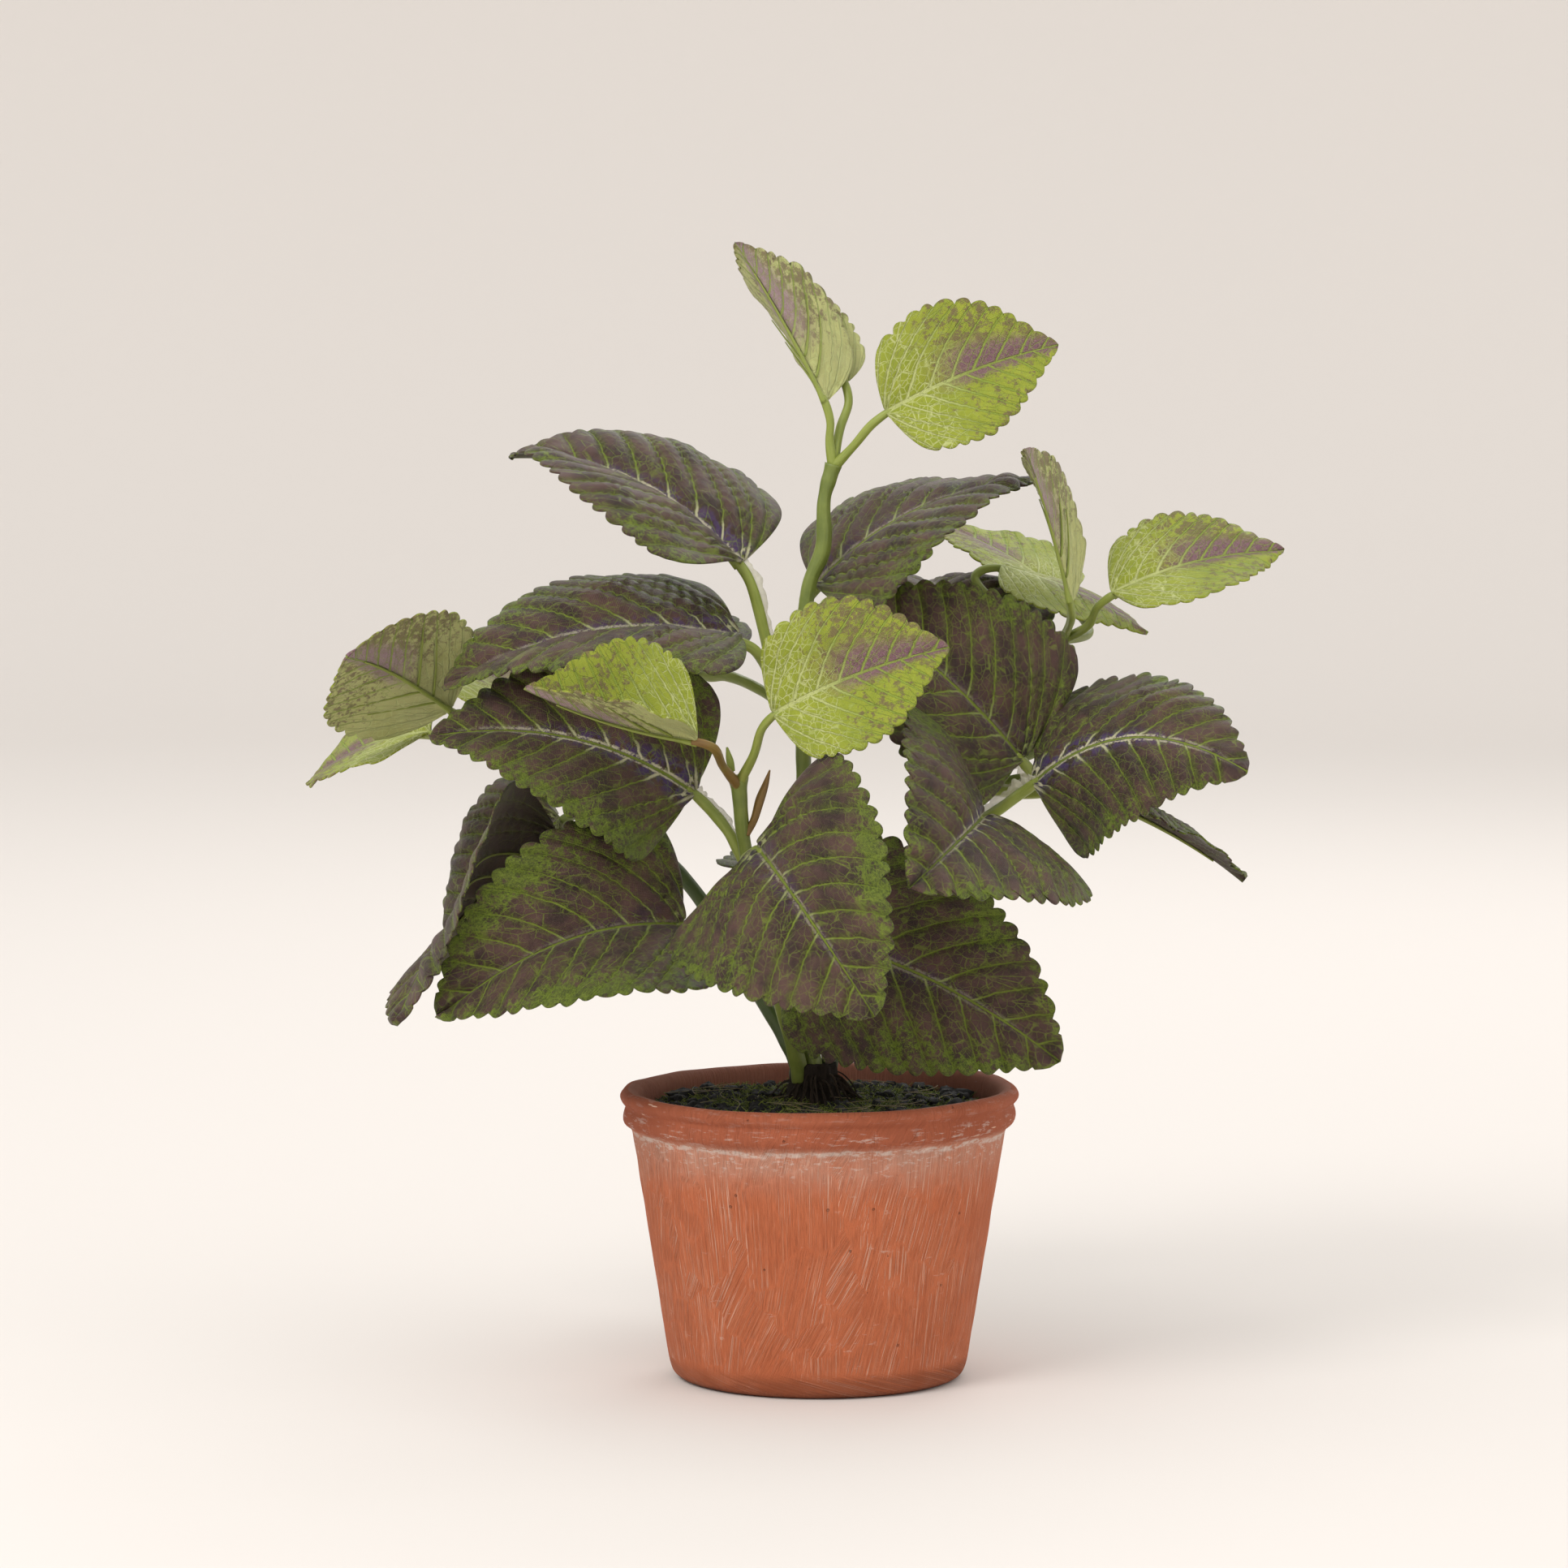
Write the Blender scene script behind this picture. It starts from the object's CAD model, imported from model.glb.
"""Potted perilla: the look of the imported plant. Metres, in the row frame.

Every CAD solid is stood for by a finer piece on the same surface: cloth leaves
with toothed margins and sunken veins, moulded stems, a brushed clay pot, soil
with clods and moss, and a fibrous stump.
"""
import math

import bpy
import numpy as np
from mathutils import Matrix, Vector


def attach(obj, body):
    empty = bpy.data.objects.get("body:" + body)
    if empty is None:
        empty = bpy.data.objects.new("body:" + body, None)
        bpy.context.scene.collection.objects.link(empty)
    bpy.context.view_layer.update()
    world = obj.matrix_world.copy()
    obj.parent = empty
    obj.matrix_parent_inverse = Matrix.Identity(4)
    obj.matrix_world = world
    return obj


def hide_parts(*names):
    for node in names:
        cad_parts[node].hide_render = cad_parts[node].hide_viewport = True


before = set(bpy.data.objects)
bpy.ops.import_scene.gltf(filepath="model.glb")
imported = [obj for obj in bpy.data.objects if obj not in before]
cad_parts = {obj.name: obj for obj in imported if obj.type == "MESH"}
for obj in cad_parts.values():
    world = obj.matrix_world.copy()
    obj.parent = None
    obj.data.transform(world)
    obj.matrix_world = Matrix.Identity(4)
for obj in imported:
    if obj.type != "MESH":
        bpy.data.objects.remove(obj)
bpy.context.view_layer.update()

MM = 0.001
SEED = 11

# ---------------------------------------------------------------- the plant

# Half width of a blade, as a share of the greatest, from base (0) to tip (1).
OUTLINE = {
    "dark": [(0, 0.08), (0.015, 0.36), (0.04, 0.63), (0.07, 0.81), (0.11, 0.92), (0.16, 0.98),
             (0.24, 1), (0.34, 0.98), (0.45, 0.93), (0.55, 0.85), (0.65, 0.74), (0.75, 0.6),
             (0.83, 0.46), (0.9, 0.31), (0.95, 0.19), (0.985, 0.1), (1, 0.04)],
    "lime": [(0, 0.06), (0.03, 0.33), (0.08, 0.62), (0.14, 0.8), (0.21, 0.89),
             (0.3, 0.96), (0.43, 1), (0.55, 0.95), (0.66, 0.83), (0.75, 0.66),
             (0.82, 0.49), (0.88, 0.33), (0.93, 0.2), (0.97, 0.11), (1, 0.03)],
}

# kind, base, tip, the way the upper face looks, arch, sweep, width, fold, curl,
# twist (as in the CAD), then how much green the print has. The CAD node of each is
# leaf_ and its name.
LEAVES = {
    "top_left": ("lime", (2, 0, 281), (-24, -8, 326), (0.3, 0.94, 0.14), 0.05, 0, 42, 58, 10, 10, 0.7),
    "top_right": ("lime", (19, -6, 278), (68, -6, 297), (0, -0.95, 0.31), 0.04, 0.03, 45, 16, 0, 0, 1.0),
    "top_back": ("lime", (8, 9, 286), (-16, 12, 317), (0.4, 0.9, 0.2), 0.05, 0, 28, 58, 10, 10, 0.8),
    "left_upper": ("dark", (-22, -5, 235), (-89, 25, 264), (0.2, -0.35, 0.91), 0.12, 0, 70, 25, -45, 0, 0.18),
    "left_middle": ("dark", (-23, -12, 214), (-106, -27, 200), (-0.1, -0.42, 0.9),
        0.12, 0, 66, 21, -38, 0, 0.45),
    "front_lime": ("lime", (-13, -48, 195), (36, -55, 214), (0, -0.95, 0.31), 0.05, 0.03, 47, 16, 0, 0, 0.8),
    "left_boat": ("lime", (-34, -60, 189), (-82, -62, 203), (0, -0.5, 0.85), -0.05, 0, 50, 48, 5, 0, 0.7),
    "far_left": ("lime", (-106, 0, 193), (-132, -40, 210), (-0.5, 0.58, 0.63), 0.1, 0, 50, 8, -10, 0, 0.4),
    "far_left_back": ("lime", (-112, 5, 186), (-148, 40, 168), (-0.4, -0.4, 0.8), 0.08, 0, 42, 10, 0, 0, 0.7),
    "left_front": ("dark", (-36, -21, 171), (-110, -31, 187), (0, -0.9, 0.42),
        0.14, -0.06, 60, 10, 0, 42, 0.45),
    "left_low": ("dark", (-39, -20, 133), (-107, -45, 109), (0, -0.87, 0.5),
        0.16, -0.04, 66, 26, 0, 10, 0.62),
    "left_hanging": ("dark", (-74, -12, 157), (-118, -52, 108), (-0.85, 0.35, 0.3),
        0.1, 0, 62, 5, -20, -75, 0.1),
    "left_back": ("dark", (-75, 25, 159), (-108, 47, 116), (-0.7, -0.5, 0.3), 0.1, 0, 62, 10, -20, 0, 0.1),
    "front_centre": ("dark", (-17, -48, 157), (15, -88, 115), (-0.5, -0.8, 0.38),
        0.17, 0.05, 76, 15, -10, 0, 0.45),
    "front_low": ("dark", (-7, -12, 130), (68, -30, 95), (0, -0.97, 0.2), 0.08, 0.05, 68, 8, -10, 0, 0.55),
    "right_front": ("dark", (46, -25, 164), (24, -88, 150), (0.62, -0.37, 0.62),
        0.12, 0, 78, 27, -30, 0, 0.5),
    "right": ("dark", (61, -12, 173), (120, -40, 178), (0, -0.75, 0.66), 0.15, 0.1, 68, -10, -8, -10, 0.3),
    "right_back": ("dark", (78, 20, 168), (124, 30, 140), (0.5, 0.1, 0.85), 0.04, 0, 62, 10, -20, 0, 0.3),
    "right_upper": ("dark", (58, -2, 179), (7, -4, 224), (0.2, -0.87, 0.42), 0.1, 0, 68, 18, -10, 0, 0.4),
    "upper_right": ("dark", (-1, 8, 228), (63, 14, 257), (-0.44, -0.36, 0.78), 0.12, 0, 70, 6, -20, -20, 0.2),
    "right_folded": ("lime", (72, 0, 224), (58, -26, 268), (0.22, 0.97, 0.05), 0.05, 0, 44, 78, 0, 20, 0.5),
    "right_lime": ("lime", (84, 5, 226), (134, 15, 237), (0, -0.55, 0.83), 0.08, 0, 42, 10, 0, 0, 0.6),
    "right_lime_back": ("lime", (73, 66, 222), (37, 96, 241), (0.4, -0.35, 0.85), 0.05, 0, 42, 5, 0, 0, 0.9),
    "right_lime_low": ("lime", (54, 46, 232), (96, 30, 213), (0.38, -0.24, 0.87),
        0.05, 0, 38, -14, 0, 0, 0.9),
    "back_upper": ("dark", (38, 36, 206), (32, 104, 222), (0.05, -0.2, 0.95), 0.12, 0, 66, 12, -15, 0, 0.4),
    "back_low": ("dark", (-4, 13, 139), (14, 84, 127), (0.1, 0.2, 0.97), 0.12, 0, 62, 12, -15, 0, 0.5),
    "back_left_low": ("dark", (-12, 22, 116), (-56, 80, 108), (-0.1, 0.2, 0.97),
        0.12, 0, 62, 12, -15, 0, 0.5),
    "back_left_upper": ("dark", (-36, 28, 203), (-86, 80, 212), (-0.1, 0, 0.98),
        0.12, 0, 64, 12, -15, 0, 0.3),
    "back_right": ("dark", (66, 34, 180), (112, 86, 174), (0.1, 0.1, 0.97), 0.12, 0, 64, 12, -15, 0, 0.4),
    "back_left_lime": ("lime", (-88, 14, 190), (-99, 62, 202), (0, -0.2, 0.95), 0.08, 0, 43, 12, 0, 0, 0.7),
}

# How strongly cream vein edges and purple show beside a dark blade's midrib.
PALE_VEINS = {"left_upper": 0.8, "left_middle": 0.6, "left_front": 0.9, "right": 1.0,
              "right_front": 0.7, "left_low": 0.15, "right_upper": 0.15, "front_low": 0.3}
PALE_ELSEWHERE = 0.35

# Stems: centre line x, y, z and radius; then each leaf's petiole, by its first
# points and tone. tone is 0 for dark green, 1 for yellow green, 2 for reddish brown.
STEMS = {
    "main_stem": {
        "body": [(-2, 0, 86, 2.9), (-2, 0, 90.6, 2.7), (-4, 0, 104, 2.4), (-5, 0, 140, 2.2),
                 (-4.5, 0, 175, 2.1), (-5, 0, 196, 2.3), (-3, 0, 228, 2.1), (1, 0, 239, 2.4),
                 (1.4, 0, 253, 1.9), (4, 0, 263, 2.6)],
        "tone": 0.55,
        "petioles": {
            "top_left": ([(4, 0, 262), (3, 0, 270)], 0.95),
            "top_back": ([(4, 0, 262), (6, 3.5, 273)], 0.9),
            "top_right": ([(4, 0, 262), (10, -2.4, 268.5)], 0.95),
            "left_upper": ([(-5, 0, 194), (-13, -2, 202), (-15, -3, 212)], 1.1),
            "left_middle": ([(-13, -2, 202), (-16, -6, 207)], 1.1),
            "upper_right": ([(-3, 0, 220), (-4, 4, 224)], 0.8),
            "front_low": ([(-4.5, 0, 116), (-9, -5, 123)], 0.7),
            "back_low": ([(-5, 0, 132), (-4, 5, 137)], 0.7),
            "back_left_low": ([(-4.5, 0, 104), (-7, 10, 113)], 0.7),
            "back_left_upper": ([(-5, 0, 188), (-14, 9, 196), (-26, 19, 201)], 0.8),
        },
    },
    "left_front_stem": {
        "body": [(-5.4, -3, 86, 2.6), (-6, -4.2, 90.6, 2.5), (-11, -11, 110, 2.2), (-18, -21, 140, 2.1),
                 (-21.5, -28, 158, 2), (-22.6, -33.5, 171, 2.2), (-23, -35, 176, 2.9)],
        "tone": 0.6,
        "petioles": {
            "front_lime": ([(-23, -35, 174), (-18.5, -41, 183)], 1.25),
            "left_boat": ([(-23, -35, 174), (-27, -45, 180)], 1.7),
            "left_front": ([(-20, -24, 149), (-26, -24, 160)], 1.1),
            "front_centre": ([(-18, -21, 140), (-21, -34, 152)], 1.0),
        },
    },
    "left_back_stem": {
        "body": [(-6, 3, 86, 2.6), (-6.5, 4.5, 90.6, 2.5), (-20, 9, 114, 2.2), (-38, 9, 142, 2.1),
                 (-58, 9, 160, 2.3), (-78, 5, 177, 1.8), (-93, 2, 186, 2)],
        "tone": 0.2,
        "petioles": {
            "left_low": ([(-30, 9, 131), (-33, -4, 134)], 0.6),
            "left_hanging": ([(-58, 9, 160), (-64, -2, 162)], 0.5),
            "left_back": ([(-58, 9, 160), (-67, 18, 162)], 0.5),
            "far_left": ([(-93, 2, 186), (-99, 3, 189)], 0.9),
            "far_left_back": ([(-93, 2, 186), (-103, 3, 187)], 0.9),
            "back_left_lime": ([(-93, 2, 186), (-89, 7, 190)], 0.9),
        },
    },
    "right_stem": {
        "body": [(2, 2.6, 86, 2.7), (3, 3.8, 90.6, 2.6), (10, 8, 108, 2.3), (26, 12, 138, 2.1),
                 (40, 17, 163, 2.2), (50, 28, 181, 2), (62, 36, 198, 1.9), (71, 33, 210.5, 2.3)],
        "tone": 0.1,
        "petioles": {
            "right_folded": ([(71, 33, 210.5), (72, 20, 214.5)], 0.9),
            "right_lime": ([(71, 33, 210.5), (78, 17, 216)], 0.9),
            "right_lime_back": ([(71, 33, 210.5), (80, 52, 212)], 0.8),
            "right_lime_low": ([(71, 33, 210.5), (57, 42, 217), (46, 47, 228)], 0.8),
            "right": ([(38, 16, 159), (48, -2, 162)], 1.15),
            "right_upper": ([(40, 17, 163), (49, 13, 168), (60, 12, 167.5), (66, 8.5, 169)], 1.05),
            "right_front": ([(33, 14, 151), (42, -10, 161)], 1.0),
            "right_back": ([(40, 17, 163), (58, 20, 171)], 0.5),
            "back_upper": ([(39, 16, 161), (36, 20, 184), (38, 28, 200)], 0.5),
            "back_right": ([(42, 18, 167), (54, 30, 175)], 0.5),
        },
    },
}

# Unopened shoots: centre line and radius, and tone.
BUDS = {
    "bud_front": ([(-24.5, -38.2, 178.2, 0.8), (-25.2, -38.8, 181, 1.1), (-26, -39.3, 185, 0.3)], 0.9),
    "bud_front_right": ([(-20.6, -29.4, 159.5, 0.9), (-18.4, -30, 164, 1.1), (-16.8, -30.6, 169.5, 1.3),
                         (-15.2, -31.4, 174, 0.9), (-14, -32, 178, 0.25)], 1.8),
    "bud_left": ([(-56.6, 7, 156, 0.8), (-50, 5.6, 154.6, 1.4), (-43, 5, 153.6, 0.25)], 1.4),
}

PETIOLE_RADIUS = {"dark": 1.6, "lime": 1.25}

# Petioles with a film of moulding flash, and how far it stands out.
FLASHED = {"left_upper": 1.6, "left_front": 1.5, "right": 2.4, "right_upper": 2.2}


# ------------------------------------------------------------ shader graphs

class Value:
    """An output of a material's graph. Arithmetic on it adds Math nodes."""

    def __init__(self, graph, socket):
        self.graph = graph
        self.socket = socket

    def __add__(self, other):
        return self.graph.math("ADD", self, other)

    def __sub__(self, other):
        return self.graph.math("SUBTRACT", self, other)

    def __rsub__(self, other):
        return self.graph.math("SUBTRACT", other, self)

    def __mul__(self, other):
        return self.graph.math("MULTIPLY", self, other)

    def __truediv__(self, other):
        return self.graph.math("DIVIDE", self, other)

    __radd__ = __add__
    __rmul__ = __mul__


class Graph:
    """A Principled material and the nodes that feed it."""

    def __init__(self, name, roughness=0.5, specular=0.5):
        self.material = bpy.data.materials.new(name)
        self.material.use_nodes = True
        self.tree = self.material.node_tree
        self.tree.nodes.clear()
        self.shader = self.tree.nodes.new("ShaderNodeBsdfPrincipled")
        self.shader.inputs["Roughness"].default_value = roughness
        self.shader.inputs["Specular IOR Level"].default_value = specular
        out = self.tree.nodes.new("ShaderNodeOutputMaterial")
        self.tree.links.new(self.shader.outputs["BSDF"], out.inputs["Surface"])

    def feed(self, socket, value):
        if isinstance(value, Value):
            self.tree.links.new(value.socket, socket)
        elif isinstance(value, tuple) and len(value) == 3 and socket.type == "RGBA":
            socket.default_value = (*value, 1)
        else:
            socket.default_value = value

    def node(self, kind, settings, inputs, output=0):
        made = self.tree.nodes.new(kind)
        for key, value in settings.items():
            setattr(made, key, value)
        for key, value in inputs.items():
            self.feed(made.inputs[key], value)
        return Value(self, made.outputs[output])

    def math(self, operation, *values):
        return self.node("ShaderNodeMath", {"operation": operation}, dict(enumerate(values)))

    def step(self, value, low, high):
        """0 below low, 1 above high, smooth between."""
        return self.node("ShaderNodeMapRange", {"interpolation_type": "SMOOTHSTEP"},
                         {"Value": value, "From Min": low, "From Max": high})

    def fade(self, value, low, high):
        """1 below low, 0 above high, smooth between."""
        return 1.0 - self.step(value, low, high)

    def lerp(self, share, a, b):
        """a where share is 0, b where it is 1, for plain numbers a and b."""
        return self.math("MULTIPLY_ADD", share, b - a, a)

    def mix(self, share, a, b):
        """A colour between colours a and b."""
        settings = {"data_type": "RGBA", "clamp_factor": True}
        return self.node("ShaderNodeMix", settings, {0: share, 6: a, 7: b}, 2)

    def most(self, a, b):
        return self.math("MAXIMUM", a, b)

    def field(self, name):
        """The three numbers of a vertex field."""
        vector = self.node("ShaderNodeAttribute", {"attribute_name": name}, {}, "Vector")
        return self.split(vector)

    def split(self, vector):
        made = self.tree.nodes.new("ShaderNodeSeparateXYZ")
        self.feed(made.inputs[0], vector)
        return [Value(self, s) for s in made.outputs]

    def join(self, x, y, z):
        return self.node("ShaderNodeCombineXYZ", {}, {0: x, 1: y, 2: z})

    def noise(self, vector, scale=1.0, detail=3.0, roughness=0.55):
        return self.node("ShaderNodeTexNoise", {}, {"Vector": vector, "Scale": scale, "Detail": detail,
                                                     "Roughness": roughness})

    def edges(self, vector, scale=1.0):
        """Distance to the nearest edge of irregular cells, in cells."""
        return self.node("ShaderNodeTexVoronoi", {"feature": "DISTANCE_TO_EDGE"},
                         {"Vector": vector, "Scale": scale})

    def spots(self, vector, scale=1.0):
        """Distance to the nearest of scattered points, in cells."""
        return self.node("ShaderNodeTexVoronoi", {"feature": "F1"},
                         {"Vector": vector, "Scale": scale}, "Distance")

    def colour(self, value):
        self.feed(self.shader.inputs["Base Color"], value)

    def rough(self, value):
        self.feed(self.shader.inputs["Roughness"], value)

    def bump(self, height, depth):
        """height 0 to 1 stands for depth metres of relief."""
        made = self.node("ShaderNodeBump", {}, {"Strength": 1.0, "Distance": depth, "Height": height})
        self.feed(self.shader.inputs["Normal"], made)

    def sheen(self, weight, roughness):
        self.shader.inputs["Sheen Weight"].default_value = weight
        self.shader.inputs["Sheen Roughness"].default_value = roughness


# ------------------------------------------------------------- leaf cloth

LATERAL = 0.13          # spacing of the side veins along the midrib
FORWARD = (0.34, 0.16)  # how far a side vein runs forward, per half width out
FAN = 0.13              # spread of the veins that fan out from the base
ALTERNATE = 0.35        # the right-hand veins leave this much later
THREADS = 9.0           # pace of the weave

# Each kind's print: how much the veins wander, and its noise fields. Then the
# veins' widths in millimetres (a pair runs from midrib to margin, or from base to
# tip), the raggedness of their edges, and where the finer ones leave gaps.
PRINT = {
    "dark": {"wander": 0.2, "ragged": (1.6, 4, 0.7), "broad": (0.055, 2),
             "speckle": (0.5, 6, 0.78), "grain": (2.6, 3, 0.7),
             "side": (0.24, 0.07), "side_edge": 2.2, "side_ragged": 0.5,
             "middle": (0.30, 0.10), "middle_edge": (0.70, 0.35), "middle_ragged": 0.5,
             "net_edge": 0.042, "net_ragged": 0.05, "net_gaps": (0.22, 0.34, 0.56),
             "fine_edge": 0.055, "fine_ragged": 0.06, "fine_from": 0.30},
    "lime": {"wander": 0.22, "ragged": (1.8, 4, 0.7), "broad": (0.07, 2),
             "speckle": (0.42, 6, 0.75), "grain": (2.4, 3, 0.7),
             "side": (0.34, 0.12), "side_edge": 1.9, "side_ragged": 0.7,
             "middle": (0.45, 0.1), "middle_edge": (1.0, 0.35), "middle_ragged": 0.3,
             "net_edge": 0.048, "net_ragged": 0.07, "net_gaps": (0.2, 0.3, 0.5),
             "fine_edge": 0.07, "fine_ragged": 0.08, "fine_from": 0.28},
}


class Print:
    """A cloth's print: places on the flat blade in millimetres, noise and veins."""

    def __init__(self, g, kind):
        s = PRINT[kind]
        self.x, self.y, seed = g.field("flat")
        order, pitch, self.reach = g.field("vein")
        self.along, self.green, self.pale = g.field("zone")
        self.out = g.math("ABSOLUTE", self.y)
        self.place = place = g.join(self.x, self.y, seed * 37.0)
        self.ragged = ragged = g.noise(place, *s["ragged"]) - 0.5
        self.broad = g.noise(place, *s["broad"])
        self.speckle = g.noise(place, *s["speckle"])
        self.grain = g.noise(place, *s["grain"])
        one, two = (g.math("SINE", way * THREADS) for way in (self.x + self.y, self.x - self.y))
        self.weave = one * two * 0.5 + 0.5

        right = g.math("LESS_THAN", self.y, 0.0)
        late = right * g.math("MINIMUM", g.math("MAXIMUM", order, 0.0), 1.0) * ALTERNATE
        shake = g.noise(place, 0.16, 2) - 0.5
        wandering = order + late + shake * s["wander"]
        self.to_vein = g.math("PINGPONG", wandering, 0.5) * pitch
        cell = g.join(wandering * 1.9, self.out / 4.6 + right * 40.0 + shake * 0.8, seed * 11.0)

        thin = g.lerp(self.reach, *s["side"])
        self.side = g.fade(self.to_vein + ragged * s["side_ragged"], thin * 0.4, thin * s["side_edge"])
        self.middle = g.fade(self.out + ragged * s["middle_ragged"], g.lerp(self.along, *s["middle"]),
                             g.lerp(self.along, *s["middle_edge"]))
        scale, low, high = s["net_gaps"]
        shown = g.step(g.noise(place, scale, 3), low, high)
        self.net = g.fade(g.edges(cell) + ragged * s["net_ragged"], 0.004, s["net_edge"]) * shown
        fine = g.fade(g.edges(place, 0.42) + ragged * s["fine_ragged"], 0.0, s["fine_edge"])
        self.fine = fine * g.step(self.broad, s["fine_from"], 0.5)


def dark_cloth(name, underside):
    """Brown-purple print with green veins and green mottling near the margin."""
    g = Graph(name, 0.5, 0.3)
    p = Print(g, "dark")
    brown = g.mix(g.step(g.noise(p.place, 0.10, 4, 0.65), 0.3, 0.7),
                  (0.016, 0.007, 0.006), (0.100, 0.050, 0.041))
    brown = g.mix(g.step(p.grain, 0.45, 0.75) * 0.5, brown, (0.155, 0.090, 0.078))
    brown = g.mix(p.weave * 0.12, brown, (0.19, 0.125, 0.105))
    leafgreen = g.mix(g.step(p.grain + p.speckle, 0.8, 1.2), (0.040, 0.062, 0.006), (0.155, 0.215, 0.018))
    pull = p.green * 0.9 + g.step(p.reach, 0.15, 1.0) * 0.85 + (p.broad - 0.5) * 1.9
    mottled = g.step(p.speckle + pull * 0.30, 0.80, 0.92)
    colour = g.mix(mottled * 0.82, brown, leafgreen)

    inner = p.pale * g.fade(p.out + p.along * 7.0 + p.ragged * 3.0, 3.5, 8.0)
    purple = inner * g.step(g.noise(p.place, 0.35, 2), 0.40, 0.52)
    colour = g.mix(purple * 0.85, colour, (0.075, 0.042, 0.15))

    veincolour = g.mix(p.grain, (0.12, 0.17, 0.012), (0.28, 0.36, 0.045))
    glow = g.fade(p.to_vein + p.ragged * 1.5, 0.2, 2.2) * g.step(p.speckle + p.reach * 0.1, 0.44, 0.6)
    colour = g.mix(glow * 0.45, colour, leafgreen)
    colour = g.mix(p.fine * 0.38, colour, veincolour)
    colour = g.mix(p.net * 0.5, colour, veincolour)
    colour = g.mix(g.most(p.side * g.lerp(p.reach, 0.9, 0.6), p.middle * 0.92), colour, veincolour)

    halo = g.fade(p.to_vein + p.ragged * 0.6, 0.20, 0.55)
    band = g.step(p.out + p.ragged * 0.9, 0.35, 0.7) * g.fade(p.out + p.ragged * 1.4, 0.9, 1.5)
    cream = inner * g.most(halo * g.step(p.out, 0.5, 1.2), band * g.step(p.speckle, 0.42, 0.5))
    colour = g.mix(cream * 0.95, colour, (0.66, 0.62, 0.42))
    if underside:
        dull = g.mix(p.weave * 0.5, (0.075, 0.055, 0.045), (0.14, 0.115, 0.095))
        colour = g.mix(0.6, colour, dull)
    g.colour(colour)
    g.rough(g.lerp(p.grain, 0.38, 0.54))
    sunk = g.step(p.to_vein, 0.0, 1.6) * 0.7 + g.most(p.side, p.middle) * -0.35 + p.net * -0.2
    g.bump(sunk + p.weave * 0.2 + p.speckle * 0.35, 0.0008)
    g.sheen(0.06, 0.35)
    return g.material


def lime_cloth(name, underside):
    """Lime print with a pale net of veins and a mauve patch along the midrib."""
    g = Graph(name, 0.5, 0.3)
    p = Print(g, "lime")
    lime = g.mix(g.noise(p.place, 0.14, 5, 0.7), (0.135, 0.200, 0.008), (0.41, 0.44, 0.035))
    lime = g.mix(g.step(p.grain, 0.45, 0.8) * 0.35, lime, (0.44, 0.47, 0.08))
    colour = g.mix(p.weave * 0.12, lime, (0.42, 0.48, 0.14))

    tipward = g.step(p.along, 0.22, 0.55)
    upper = g.step(p.y, -1.0, 1.0)
    wide = g.lerp(upper, 5.5, 12.0) * g.lerp(g.step(p.along, 0.45, 1.0), 1.0, 0.4)
    patch = tipward * g.fade(p.out + (p.speckle - 0.5) * 13.0, wide * 0.35, wide)
    mauves = (0.135, 0.065, 0.080), (0.26, 0.125, 0.19)
    if underside:
        dull = g.mix(g.noise(p.place, 0.1, 3), (0.54, 0.54, 0.22), (0.66, 0.64, 0.36))
        colour = g.mix(0.68, colour, dull)
        mauves = (0.27, 0.17, 0.18), (0.42, 0.29, 0.33)
    likely = p.speckle + tipward * 0.10 + upper * 0.06 - p.green * 0.06
    flecks = g.step(likely, 0.56, 0.63) * g.step(p.along, 0.08, 0.4)
    colour = g.mix(flecks * 0.75, colour, (0.15, 0.085, 0.065))
    colour = g.mix(patch * 0.9, colour, g.mix(g.step(p.grain, 0.3, 0.7), *mauves))

    veincolour = g.mix(tipward, (0.56, 0.60, 0.25), (0.27, 0.36, 0.05))
    colour = g.mix(p.fine * (0.75 - tipward * 0.4), colour, veincolour)
    colour = g.mix(p.net * (0.85 - tipward * 0.45), colour, veincolour)
    colour = g.mix(g.most(p.side * 0.85, p.middle * 0.8), colour, veincolour)
    g.colour(colour)
    g.rough(g.lerp(p.grain, 0.42, 0.58))
    sunk = g.most(p.side, p.middle) * -0.5 + p.net * -0.3
    g.bump(sunk + p.weave * 0.2 + p.speckle * 0.4, 0.0006)
    g.sheen(0.05, 0.4)
    return g.material


def moulded():
    """Stems and ribs: satin plastic, tinted by the tone field."""
    g = Graph("moulded", 0.42, 0.45)
    tone, round_it, along = g.field("tone")
    place = g.join(round_it * 1.3, along * 0.12, tone * 7.0)
    streaks = g.noise(place, 1.0, 4)
    blotch = g.noise(g.join(round_it, along, tone), 0.16, 3)
    dark = g.mix(streaks, (0.022, 0.045, 0.012), (0.07, 0.115, 0.03))
    green = g.mix(streaks, (0.16, 0.22, 0.03), (0.36, 0.40, 0.085))
    red = g.mix(streaks, (0.13, 0.07, 0.02), (0.32, 0.19, 0.05))
    colour = g.mix(g.step(tone + (blotch - 0.5) * 0.4, 0.0, 1.0), dark, green)
    colour = g.mix(g.step(tone + (blotch - 0.5) * 0.6, 1.15, 1.8), colour, red)
    g.colour(colour)
    g.rough(g.lerp(blotch, 0.34, 0.52))
    g.bump(streaks * 0.7 + blotch * 0.3, 0.0005)
    return g.material


def film():
    """Thin moulding flash left along some petioles."""
    g = Graph("flash_film", 0.25, 0.5)
    x, y, seed = g.field("tone")
    wisps = g.noise(g.join(x, y, seed), 0.6, 4)
    g.colour(g.mix(wisps, (0.55, 0.52, 0.36), (0.8, 0.78, 0.66)))
    g.shader.inputs["Alpha"].default_value = 0.5
    g.bump(wisps, 0.0004)
    return g.material


# ------------------------------------------------------------- mesh making

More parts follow.
